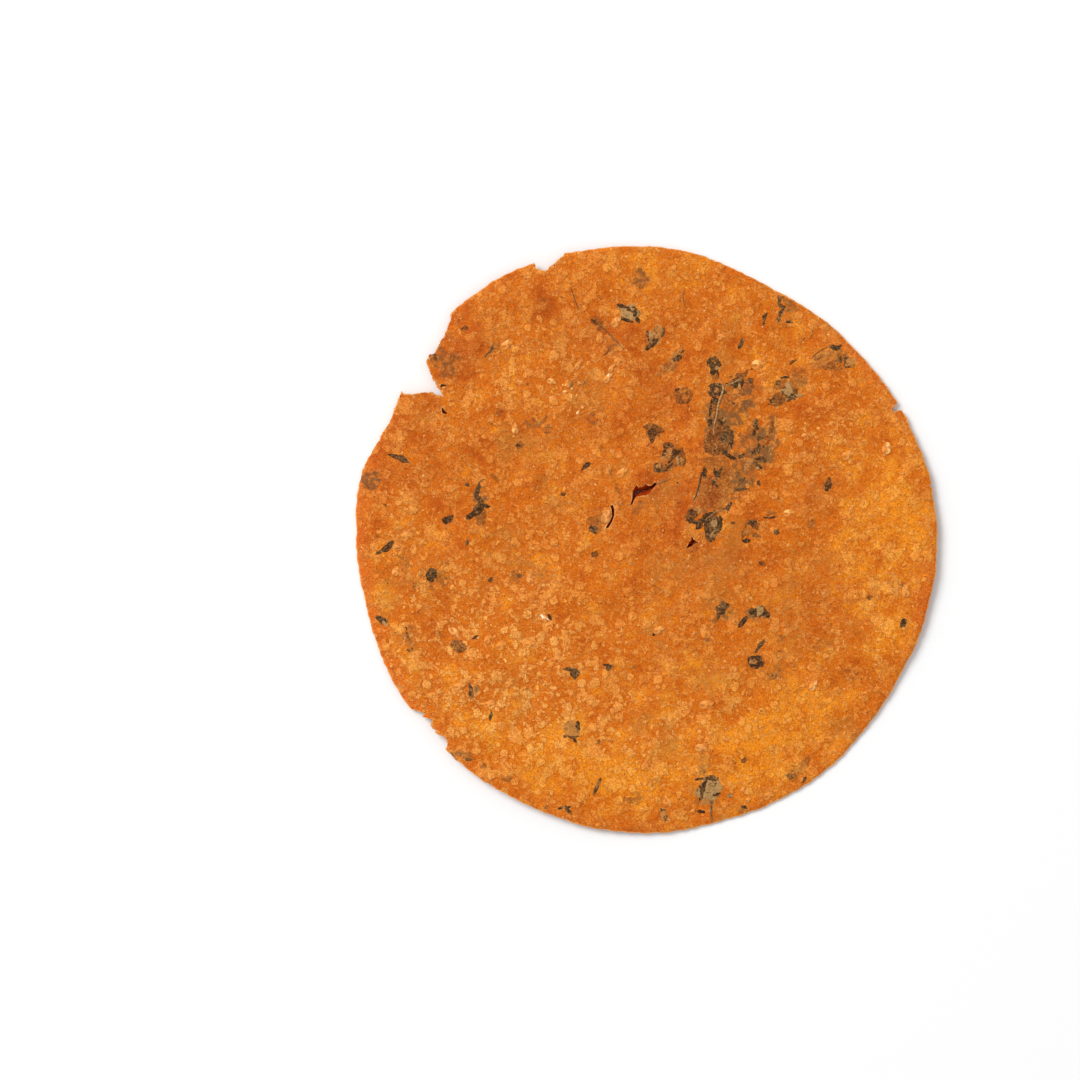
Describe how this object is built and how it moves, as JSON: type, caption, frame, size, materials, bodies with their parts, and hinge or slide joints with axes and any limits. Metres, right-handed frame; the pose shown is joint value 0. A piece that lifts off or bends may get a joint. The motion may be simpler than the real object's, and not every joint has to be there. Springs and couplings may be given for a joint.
{
  "type": "khakhra",
  "caption": "Thin, crisp, roasted round of flatbread, slightly warped, with a chipped and torn rim, cracks, and sesame seeds and flakes of fenugreek leaf baked into its top; a snack bread.",
  "frame": {"origin": "on the surface that the bread lies on, under the middle of the round", "axes": "+Z up through the bread's thin way, out of its seeded top; seen from above with +X right and +Y up, the deep notch is at the upper left and the torn bite at the lower left"},
  "size_m": [0.1398, 0.1413, 0.0045],
  "materials": {
    "roasted_dough": "dry roasted wheat dough, orange with turmeric and chilli, mottled, blistered and matt",
    "sesame_seed": "toasted hulled sesame seed, cream to pale orange, faint oily sheen",
    "fenugreek_leaf": "dried leaf flakes, grey green to black brown with tan middles"
  },
  "bodies": {
    "root": {"khakhra": "roasted_dough"}
  },
  "joints": []
}
